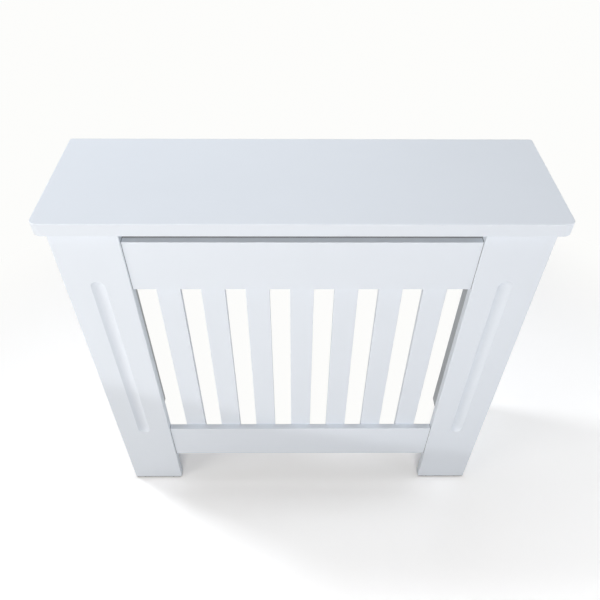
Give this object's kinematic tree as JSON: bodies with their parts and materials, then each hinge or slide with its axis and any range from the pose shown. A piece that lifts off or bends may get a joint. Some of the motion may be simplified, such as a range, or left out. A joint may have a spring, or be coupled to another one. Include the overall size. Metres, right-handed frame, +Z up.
{
  "type": "radiator cover cabinet",
  "caption": "Free-standing slatted cabinet with an overhanging rounded top board, grooved stiles and an open back, which stands over a wall radiator.",
  "frame": {"origin": "on the floor, under the middle of the top board (the bottom centre of the whole object's box)", "axes": "+Z up, +X to the viewer's right along the board's length, +Y from the front towards the wall; the grille faces -Y"},
  "size_m": [0.78, 0.235, 0.743],
  "materials": {
    "white_paint": "satin cool-white paint on fibreboard",
    "beech": "bare beech, fluted",
    "zinc_plated_steel": "bright zinc plate",
    "die_cast_zinc": "dull die-cast zinc alloy",
    "white_plastic": "fine matt moulding",
    "grey_plastic": "matt moulding"
  },
  "bodies": {
    "root": {"top_board": "white_paint", "left_stile": "white_paint", "right_stile": "white_paint", "left_side_panel": "white_paint", "right_side_panel": "white_paint", "bottom_rail": "white_paint", "top_rail": "white_paint", "top_stretcher": "white_paint", "slat_1": "white_paint", "slat_2": "white_paint", "slat_3": "white_paint", "slat_4": "white_paint", "slat_5": "white_paint", "slat_6": "white_paint", "slat_7": "white_paint", "rail_dowels": "beech", "side_dowels": "beech", "board_dowels": "beech", "cam_bolts": "zinc_plated_steel", "cam_locks": "die_cast_zinc", "cam_caps": "white_plastic", "joint_plates": "zinc_plated_steel", "wall_brackets": "zinc_plated_steel", "slat_screws": "zinc_plated_steel", "plate_screws": "zinc_plated_steel", "bracket_screws": "zinc_plated_steel", "stretcher_screws": "zinc_plated_steel", "foot_glides": "grey_plastic"}
  },
  "joints": []
}
